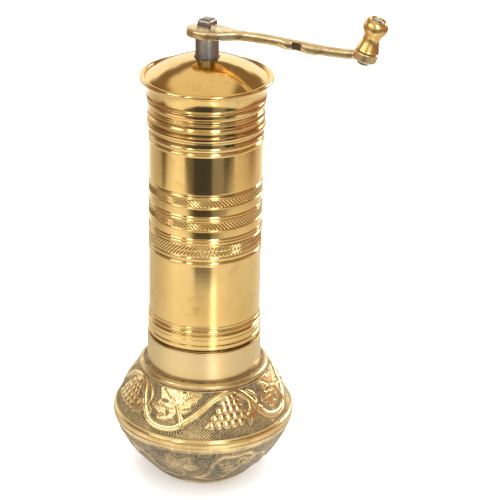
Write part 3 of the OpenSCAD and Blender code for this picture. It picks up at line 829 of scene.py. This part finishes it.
def make_lid():
    skirt = BARREL_R + 1.2
    bead_r = 1.1
    rim = RIM_R - bead_r
    rim_z = LID_Z + 8.3
    dome_r, dome_z = rim - 1.2, rim_z + 0.2
    rise = DOME_TOP - dome_z
    ball = (dome_r**2 + rise**2) / (2 * rise)
    ball_z = DOME_TOP - ball
    hole = JOURNAL_R + 0.45
    edge = math.degrees(math.asin((dome_z - ball_z) / ball))
    hole_edge = math.degrees(math.acos(hole / ball))
    outer = [[skirt - 0.25, LID_Z], [skirt, LID_Z + 0.3], [skirt, LID_Z + 0.7]]
    outer += cubic((skirt - 0.2, LID_Z + 1.0), (skirt - 0.2, LID_Z + 4.5), (skirt + 0.4, rim_z - 2.2),
                   (rim - 0.4, rim_z - bead_r), 16)
    outer += arc(rim, rim_z, bead_r, -60, 150, 20)
    outer += [[dome_r + 0.25, dome_z - 0.15]] + arc(0, ball_z, ball, edge + 0.3, hole_edge, 40)
    inner = arc(0, ball_z, ball - 1, hole_edge, edge - 1, 20)
    inner += [[skirt - 1.3, rim_z - 1.5], [skirt - 1.3, LID_Z + 5.5]]
    inner += [[BORE_R - 0.1, LID_Z + 5.5], [BORE_R - 0.1, LID_Z]]
    lathe("lid_shell", softened(outer + inner, 0.15, 35), POLISHED, "lid", ["lid_dome"],
          360, crevice_shade=0.0)
    bore = JOURNAL_R + 0.12
    lip = DOME_TOP + 0.1
    ferrule = [[bore, DOME_TOP - 3], [hole, DOME_TOP - 3], [hole, lip - 0.1], [hole - 0.1, lip], [bore, lip]]
    lathe("lid_ferrule", softened(ferrule, 0.05), IRON, "lid", ["lid_bush"], 128)


# ---- shaft, crank and knob

SQUARE = 6.5
SQUARE_TURN = math.radians(-14)
TAIL_R = 2.6
BURR_SQUARE = 5.6
SHAFT_POINTS = 96
HAIR = 0.01


def superellipse(half_x, half_y, power, count):
    """Points round a rounded rectangle."""
    t = np.arange(count) * TAU / count
    c, s = np.cos(t), np.sin(t)
    x, y = (half * np.sign(a) * np.abs(a) ** (2 / power) for half, a in ((half_x, c), (half_y, s)))
    return np.stack([x, y], 1)


def square_section(half, corner, z):
    """A level section of the shaft's square, with rounded corners."""
    t = (np.arange(SHAFT_POINTS) + 0.5) * TAU / SHAFT_POINTS
    c, s = np.cos(t), np.sin(t)
    reach = half / np.maximum(np.abs(c), np.abs(s))
    inner = half - corner
    x, y = reach * c, reach * s
    dx, dy = np.abs(x) - inner, np.abs(y) - inner
    in_corner = (dx > 0) & (dy > 0)
    size = np.hypot(dx, dy) + 1e-9
    x = np.where(in_corner, np.sign(x) * (inner + dx / size * corner), x)
    y = np.where(in_corner, np.sign(y) * (inner + dy / size * corner), y)
    c, s = math.cos(SQUARE_TURN), math.sin(SQUARE_TURN)
    return np.column_stack([x * c - y * s, x * s + y * c, np.full(SHAFT_POINTS, z)])


def section(half, z, power=2):
    """A level section of the shaft: round, or squarish at a high power."""
    return np.column_stack([superellipse(half, half, power, SHAFT_POINTS), np.full(SHAFT_POINTS, z)])


def make_shaft():
    journal_z, tail_z = LID_Z + 4, bottom("drive_shaft")
    burr_z, burr_top = bottom("cone_burr"), top("cone_burr")
    tail = ((TAIL_R - 0.3, tail_z), (TAIL_R, tail_z), (TAIL_R, burr_z - HAIR))
    stem = ((STEM_R, burr_top + HAIR), (STEM_R, journal_z - HAIR), (JOURNAL_R - 0.2, journal_z),
            (JOURNAL_R, journal_z + 0.2), (JOURNAL_R, SHOULDER_Z - 0.5),
            (JOURNAL_R - 0.12, SHOULDER_Z - 0.18), (JOURNAL_R - 0.5, SHOULDER_Z))
    rings = [section(r, z) for r, z in tail]
    rings += [section(BURR_SQUARE / 2, z, 14) for z in (burr_z + HAIR, burr_top - HAIR)]
    rings += [section(r, z) for r, z in stem]
    worn_top = ((0.0, HAIR), (0.0, 4.9), (0.04, 6.8), (0.2, 7.5), (0.55, 8.0), (1.1, 8.28))
    rings += [square_section(SQUARE / 2 - inset, 0.45, SHOULDER_Z + rise) for inset, rise in worn_top]
    rings += [square_section(1.0, 0.4, SHAFT_TOP - 0.02)]
    finish_object("shaft", lofted("shaft", rings), STEEL, "drive", ["drive_shaft"], 40)


KNOB_JOINT = next(j for j in frame["joints"] if j["name"] == "knob_spin")
KNOB_AT = Vector(KNOB_JOINT["pos_m"]) / MM
LEAN = math.atan2(KNOB_JOINT["axis"][0], KNOB_JOINT["axis"][2])
CRANK_REACH = KNOB_AT.x
ARM_WIDE, ARM_TALL = 4.4, 4.1
ARM_FALL = 3.0
ARM_FALL_FROM, ARM_FALL_TO = 16.0, CRANK_REACH - 8
BOSS_R, BOSS_TALL = 5.2, 4.0
ARM_TIP_FROM, ARM_TIP_RISE = CRANK_REACH - 10, 0.04
SWELLINGS = ((35.4, 2.4), (46.0, 4.0))
SWELL_WIDE, SWELL_DEEP = 0.6, 0.24
EYE_REACH, EYE_HALF = 9.2, 7.0
NECK_FROM, NECK_LONG, NECK_HALF = 3.0, 13.5, 6.65
SQUARE_PLAY, RIVET_PLAY = 0.08, 0.05
KNOB_R, KNOB_TALL = 5.4, 14.5
RIVET_R = 1.6
ARM_STATIONS, ARM_POINTS = 170, 56
FUSE_MM, FUSE_PASSES = 0.26, 4
EYE_Z = SHOULDER_Z + 0.1
EYE_TALL = 4.0
EYE_MID = EYE_Z + EYE_TALL / 2


def arm_z(s):
    """Height of the arm's middle line: a drooping S."""
    run = min(1, max(0, (s - ARM_FALL_FROM) / (ARM_FALL_TO - ARM_FALL_FROM)))
    fall = ARM_FALL * (1 - math.cos(math.pi * run)) / 2
    return EYE_MID - fall + ARM_TIP_RISE * max(0, s - ARM_TIP_FROM)


def knob_ring(r, z, count):
    """A circle round the knob's leaning axis, z above its seat."""
    turn = np.arange(count) * TAU / count
    x, y = r * np.cos(turn), r * np.sin(turn)
    c, s = math.cos(LEAN), math.sin(LEAN)
    return np.column_stack([x * c + z * s + KNOB_AT.x, y, z * c - x * s + KNOB_AT.z])


def crank_lobes(s):
    """How far the arm's two leafy swellings stand out, 0 to 1."""
    return sum(math.exp(-(((s - middle) / half) ** 4)) for middle, half in SWELLINGS)


def crank_width(s):
    """Half width from above: the eye, the neck narrowing into the arm, the swellings."""
    half = ARM_WIDE / 2
    eye = math.sqrt(max(0.0, 1 - (s / EYE_REACH) ** 2)) * EYE_HALF if s < NECK_FROM + 0.4 else 0.0
    neck = half + (NECK_HALF - half) * (1 - smooth(s, NECK_FROM, NECK_FROM + NECK_LONG))
    arm = half + SWELL_WIDE * crank_lobes(s)
    return max(eye, arm if s > 0 else 0.0, neck if s > NECK_FROM else 0.0)


def make_crank():
    """Arm and boss fused into one cast skin, then holed and notched."""
    arm = []
    for s in np.linspace(0.05 - EYE_REACH, CRANK_REACH + 0.5, ARM_STATIONS):
        blend = min(1, max(0, (s - 9) / 8))
        tall = (EYE_TALL * (1 - blend) + ARM_TALL * blend) / 2
        flat = superellipse(max(0.25, crank_width(s)), tall, 5.5 - 2.2 * blend, ARM_POINTS)
        sag = 1 + SWELL_DEEP * crank_lobes(s)
        arm.append([(s, y, arm_z(s) + (h if h > 0 else h * sag)) for y, h in flat])
    edge = ((0.35, -BOSS_TALL), (0.0, -BOSS_TALL + 0.3), (0.0, -0.35), (0.3, -0.02))
    boss = [knob_ring(BOSS_R - inset, z, 72) for inset, z in edge]
    name = "crank_casting"
    obj = finish_object(name, lofted(name, arm, boss), CAST, "crank", ["crank_arm"], 0)
    fuse = obj.modifiers.new("fuse", "REMESH")
    fuse.mode, fuse.voxel_size = "VOXEL", FUSE_MM * MM
    file = obj.modifiers.new("file", "SMOOTH")
    file.factor, file.iterations = 0.5, FUSE_PASSES
    apply_modifiers(obj)
    half = SQUARE / 2 + SQUARE_PLAY
    cut_hole(obj, "square", [square_section(half, 0.5, z) for z in (EYE_Z - 2, EYE_Z + 7)])
    cut_hole(obj, "rivet", [knob_ring(RIVET_R + RIVET_PLAY, z, 48) for z in (-8, 2)])
    notch_lobes(obj)
    dress(obj.data, CAST, 38)


def apply_modifiers(obj):
    """Makes the object's modifiers part of its mesh."""
    graph = bpy.context.evaluated_depsgraph_get()
    mesh = bpy.data.meshes.new_from_object(obj.evaluated_get(graph))
    old = obj.data
    obj.modifiers.clear()
    obj.data = mesh
    bpy.data.meshes.remove(old)
    mesh.name = obj.name


def cut_hole(obj, name, rings):
    """Takes the loft through the rings out of the object."""
    plug = placed(name, lofted(name, rings))
    cut = obj.modifiers.new(name, "BOOLEAN")
    cut.operation, cut.object, cut.solver = "DIFFERENCE", plug, "EXACT"
    bpy.context.view_layer.update()
    apply_modifiers(obj)
    bpy.data.objects.remove(plug)


FACET_FROM, FACET_TO = 38.0, 41.8
FACET_DEEP = 0.4


def notch_lobes(obj):
    """Cuts a facet into both sides of the arm, between its swellings, and paints shade on it through the
    cavity attribute.
    """
    co = coordinates(obj)
    s = co[:, 0]
    inside = smooth(s, FACET_FROM - 0.2, FACET_FROM + 0.2) * smooth(-s, -FACET_TO - 0.2, 0.2 - FACET_TO)
    reach = np.abs(co[:, 1])
    flat = np.minimum(reach, ARM_WIDE / 2 - FACET_DEEP)
    co[:, 1] = np.sign(co[:, 1]) * (reach + inside * (flat - reach))
    obj.data.vertices.foreach_set("co", (co * MM).astype(np.float32).ravel())
    obj.data.update()
    # Painted shade on the facet's flats.
    add_attribute(obj, "cavity", 0.75 * inside * (reach > ARM_WIDE / 2 - FACET_DEEP - 0.1))


def turned_on_knob(name, outline, material, body, nodes, segments=160, sharp=40):
    """A lathe piece on the knob's leaning axis."""
    verts = np.vstack([knob_ring(r, z, segments) for r, z in outline])
    weld(mesh_object(name, verts, len(outline), material, body, nodes, sharp), sharp)


def make_knob():
    r, h, base = KNOB_R, KNOB_TALL, 0.15
    waist = r * 0.67
    outer = [[r * 0.8, 0.05], [r * 0.89, 0.2], [r * 0.93, 0.5], [r * 0.9, 0.95]]
    outer += cubic((r * 0.87, 1.2), (waist * 1.2, h * 0.19), (waist * 0.98, h * 0.3), (waist, h * 0.42), 14)
    outer += cubic((waist, h * 0.42), (waist * 1.05, h * 0.52), (r * 0.82, h * 0.56),
                   (r * 0.93, h * 0.65), 12)[1:]
    outer += cubic((r * 0.93, h * 0.65), (r * 1.02, h * 0.75), (r * 1.0, h * 0.86),
                   (r * 0.82, h * 0.955), 14)[1:]
    outer += [[r * 0.74, h - 0.15], [r * 0.68, h - 0.05], [r * 0.61, h - 0.15]]
    outer += [[r * 0.55, h - 0.75], [RIVET_R + 0.1, h - 0.9]]
    outline = [[x, z + base] for x, z in outer] + [[RIVET_R + 0.1, base + 0.05]]
    turned_on_knob("knob_turned", softened(outline, 0.1, 45), HANDLED, "grip", ["knob"])
    head, deep = 2.7, 2.2
    top_z = h + base - 0.05
    low_z = -BOSS_TALL - deep
    rivet = [[0.02, low_z], [head - 0.9, low_z + 0.02], [head - 0.3, low_z + 0.25], [head, low_z + 0.7],
             [head, -BOSS_TALL - 0.02], [RIVET_R, -BOSS_TALL - 0.02], [RIVET_R, top_z - 0.75],
             [RIVET_R + 0.85, top_z - 0.75], [RIVET_R + 0.8, top_z - 0.4],
             [RIVET_R + 0.2, top_z - 0.06], [0.02, top_z]]
    turned_on_knob("rivet_pin", softened(rivet, 0.15, 40), STEEL, "crank", ["knob_rivet"], 72)


# ---- hidden pieces keep their CAD shape

CAD_LOOKS = {
    "burr_housing": SATIN, "ring_burr": IRON, "burr_set_screws": STEEL, "upper_bridge": CAST,
    "upper_bush": STEEL, "lower_bridge": STEEL, "bridge_screws": STEEL, "spring": WIRE,
    "lid_plug_ring": SATIN, "cone_burr": IRON, "spring_washer": STEEL, "burr_nut": STEEL,
    "thrust_ball": WIRE, "adjusting_screw": STEEL,
}


def dress_cad_nodes():
    """Gives the hidden CAD pieces their materials."""
    for node, look in CAD_LOOKS.items():
        dress(frame["nodes"][node].data, look, 30)


# ---- floor, light and camera


def around(azimuth, distance, height):
    """A place by its azimuth from the camera's own, positive to the right."""
    a = math.radians(FRONT + azimuth)
    return Vector((math.cos(a) * distance, math.sin(a) * distance, height))


FLOOR_HALF = 6.0


def make_floor():
    n = Material("floor_paper")
    tint = n.mix(n.noise(14, 3, 0.5), (0.93, 0.93, 0.925, 1), (0.90, 0.90, 0.90, 1))
    glow = {"Specular IOR Level": 0.2, "Emission Color": (1, 1, 1, 1), "Emission Strength": 0.15}
    n.finish(tint, 0.75, n.bump(n.noise(1200, 2, 0.5), 0.0001, 0.1), 0.0, glow)
    mesh = bpy.data.meshes.new("floor")
    corners = [(x * FLOOR_HALF, y * FLOOR_HALF, 0) for x, y in ((-1, -1), (1, -1), (1, 1), (-1, 1))]
    mesh.from_pydata(corners, [], [(0, 1, 2, 3)])
    mesh.materials.append(n.material)
    placed("floor", mesh)


# The room as the table shows it. Azimuths are from the camera's own, distances in metres. TONE is the
# pale sweep's brightness, near and far. A wedge is a dark patch: azimuth, start, spread and colour.
TONE_AZIMUTH = (-180, -138, -112, -92, -60, -33, -7, 31, 50, 72, 108, 133, 180)
TONE_NEAR = (0.75, 0.64, 0.62, 0.70, 0.95, 0.98, 0.84, 0.98, 0.80, 0.72, 0.68, 0.80, 0.75)
TONE_FAR = (1.45, 0.72, 0.55, 0.66, 1.10, 0.95, 0.80, 0.80, 0.82, 0.80, 0.66, 0.80, 1.45)
WARM = (1.0, 0.955, 0.84)
FIGURE_TONE = (0.058, 0.06, 0.063)
FIGURE_MID = (0.30, 0.30, 0.29)
FIGURE_SIDE = (0.17, 0.135, 0.10)
FIGURE_NEAR = 0.243
FIGURE_LEFT, FIGURE_RIGHT = -18, 10
FIGURE_AZIMUTH, FIGURE_HALF = 8, 50
SLOPE_LEFT, SLOPE_RIGHT = 0.0066, 0.0034
TABLE_GAIN = 1.15
FAR_DIM = 0.4
WEDGES = ((-91, 0.33, 140, (0.14, 0.085, 0.045)), (103, 0.375, 480, (0.34, 0.15, 0.075)))
WEDGE_DEPTH = 0.95
WINDOW_AZIMUTH, WINDOW_HALF = 17, 5.5
WINDOW_GLOW = 2.3


def turned_to(color, other, amount):
    """The colour moved towards another by an amount for each point."""
    return color + amount[..., None] * (np.array(other) - color)


def figure_tone(azimuth):
    """The dark figure: near black, a greyer middle, a brown left side."""
    middle = smooth(azimuth, 10, 15) * smooth(-azimuth, -38, -33)
    figure = turned_to(np.array(FIGURE_TONE), FIGURE_MID, middle)
    return turned_to(figure, FIGURE_SIDE, smooth(-azimuth, 22, 26))


def table_tone(azimuth, distance):
    """The table's colour: pale sweep, dark wedges, a window's glare and the figure."""
    near = np.interp(azimuth, TONE_AZIMUTH, TONE_NEAR)
    far = np.interp(azimuth, TONE_AZIMUTH, TONE_FAR)
    tone = near + (far - near) * smooth(distance, 0.22, 0.30)
    tone = tone * (1 - FAR_DIM * smooth(distance, 0.44, 0.58))
    color = TABLE_GAIN * tone[..., None] * np.array(WARM)
    for middle, start, spread, dark in WEDGES:
        wide = spread * np.maximum(distance - start, 1e-3)
        amount = WEDGE_DEPTH * smooth(distance, start, start + 0.03) * hump(azimuth, middle, wide)
        color = turned_to(color, dark, amount)
    glare = hump(azimuth, WINDOW_AZIMUTH, WINDOW_HALF) * smooth(-distance, -0.262, -0.235)
    color = turned_to(color, WINDOW_GLOW, glare)
    edge = FIGURE_NEAR + SLOPE_LEFT * np.maximum(0, FIGURE_LEFT - azimuth)
    edge += SLOPE_RIGHT * np.maximum(0, azimuth - FIGURE_RIGHT)
    inside = smooth(distance - edge, -0.004, 0.004) * (np.abs(azimuth - FIGURE_AZIMUTH) < FIGURE_HALF)
    return turned_to(color, figure_tone(azimuth), inside)


def make_table_glow():
    """A ring on the table that only reflections see, for the room round the mill."""
    columns, rings = 720, 90
    nearest, furthest = 0.055, 3.0
    azimuth = np.linspace(-180, 180, columns, endpoint=False)
    distance = nearest * (furthest / nearest) ** (np.arange(rings) / (rings - 1))
    azimuth, distance = np.meshgrid(azimuth, distance)
    turn = np.radians(FRONT + azimuth)
    verts = np.stack([distance * np.cos(turn), distance * np.sin(turn), np.full(turn.shape, 0.001)], -1)
    mesh = bpy.data.meshes.new("table_glow")
    mesh.from_pydata(verts.reshape(-1, 3).tolist(), [], ring_faces(rings, columns, False).tolist())
    layer = mesh.attributes.new("tone", "FLOAT_VECTOR", "POINT")
    layer.data.foreach_set("vector", table_tone(azimuth, distance).astype(np.float32).ravel())
    n = Material("table_glow", "ShaderNodeEmission")
    n.put(n.surface.inputs["Color"], n.attribute("tone", "Color"))
    mesh.materials.append(n.material)
    obj = placed("table_glow", mesh)
    obj.visible_camera = obj.visible_diffuse = obj.visible_shadow = obj.visible_transmission = False


def softbox(name, azimuth, distance, height, wide, tall, power, color=(1, 1, 1), aim=0.1):
    """A light turned to the mill's axis at the height of aim. Metres and watts."""
    light = bpy.data.lights.new(name, "AREA")
    light.shape, light.size, light.size_y = "RECTANGLE", wide, tall
    light.energy, light.color = power, color
    obj = placed(name, light)
    obj.location = around(azimuth, distance, height)
    obj.rotation_euler = (Vector((0, 0, aim)) - obj.location).to_track_quat("-Z", "Y").to_euler()
    return obj


CEILING = (0.91, 0.80, 0.60, 1)
DIM_ROOM = (0.25, 0.165, 0.085, 1)
BACKDROP = (1.3, 1.27, 1.2, 1)
FRONT_WALL = (0.62, 0.55, 0.43, 1)
RIGHT_WALL = (0.52, 0.28, 0.15, 1)
LEFT_WALL = (0.30, 0.20, 0.12, 1)


def paint_room(n):
    """The room above the table: pale backdrop, dim walls over it, a lit ceiling."""
    ahead = math.radians(FRONT)
    toward = (math.cos(ahead), math.sin(ahead), 0)
    right = (-math.sin(ahead), math.cos(ahead), 0)

    def along(direction):
        inputs = {0: n.place, 1: direction}
        return n.add("ShaderNodeVectorMath", inputs, operation="DOT_PRODUCT").outputs["Value"]

    def over(color, other, value, low, high):
        """One colour turning into the other."""
        return n.mix(n.ramp(value, low, high, kind="SMOOTHSTEP"), color, other)

    cloud = n.noise(5, 3, 0.5)
    wobble = {0: cloud, 1: 0.22, 2: along((0, 0, 1))}
    up = n.add("ShaderNodeMath", wobble, operation="MULTIPLY_ADD").outputs[0]
    low = over(BACKDROP, FRONT_WALL, along(toward), -0.1, 0.5)
    low = over(low, RIGHT_WALL, along(right), 0.74, 0.86)
    low = over(low, LEFT_WALL, along(right), -0.82, -0.92)
    walls = over(low, DIM_ROOM, up, 0.6, 0.66)
    sky = over(walls, CEILING, up, 0.80, 0.88)
    dim_side = over(low, DIM_ROOM, up, 0.46, 0.54)
    sky = over(sky, dim_side, along(right), 0.34, 0.46)
    return over(sky, dim_side, along(right), -0.46, -0.56)


def make_world():
    """Plain pale light for everything but reflections, which see the painted room."""
    world = bpy.data.worlds.new("studio")
    bpy.context.scene.world = world
    world.use_nodes = True
    world.node_tree.nodes.clear()
    n = Nodes(world.node_tree, "Generated")
    plain = n.add("ShaderNodeBackground", {"Color": (1.0, 0.99, 0.97, 1)}).outputs[0]
    room = n.add("ShaderNodeBackground", {"Color": paint_room(n)}).outputs[0]
    glossy = n.add("ShaderNodeLightPath").outputs["Is Glossy Ray"]
    pick = n.add("ShaderNodeMixShader", {0: glossy, 1: plain, 2: room})
    n.add("ShaderNodeOutputWorld", {"Surface": pick.outputs[0]})


DAYLIGHT = (1, 0.98, 0.93)


def make_lights():
    softbox("front_window", 19, 1.1, 0.7, 0.24, 0.7, 4.2, DAYLIGHT)
    softbox("side_window", -32, 1.1, 0.7, 0.15, 0.7, 1.6, DAYLIGHT)
    softbox("left_box", -62, 1.0, 0.75, 0.4, 0.5, 2.2)
    softbox("right_rim", 129, 1.0, 0.42, 0.26, 0.4, 4, aim=0.15)
    softbox("top_box", 170, 0.25, 1.6, 2.0, 2.0, 30).visible_glossy = False


def make_camera():
    data = bpy.data.cameras.new("camera")
    data.sensor_width, data.lens = 36, 148.2
    data.clip_start, data.clip_end = 0.05, 30
    obj = placed("camera", data)
    obj.location = CAMERA_AT
    obj.rotation_euler = Euler([math.radians(a) for a in CAMERA_TURN])
    bpy.context.scene.camera = obj


make_camera()
make_floor()
make_table_glow()
make_world()
make_lights()
make_lower_bowl()
make_upper_bowl()
make_collar()
make_barrel()
make_lid()
make_shaft()
make_crank()
make_knob()
dress_cad_nodes()
bpy.context.scene.view_settings.view_transform = "Standard"
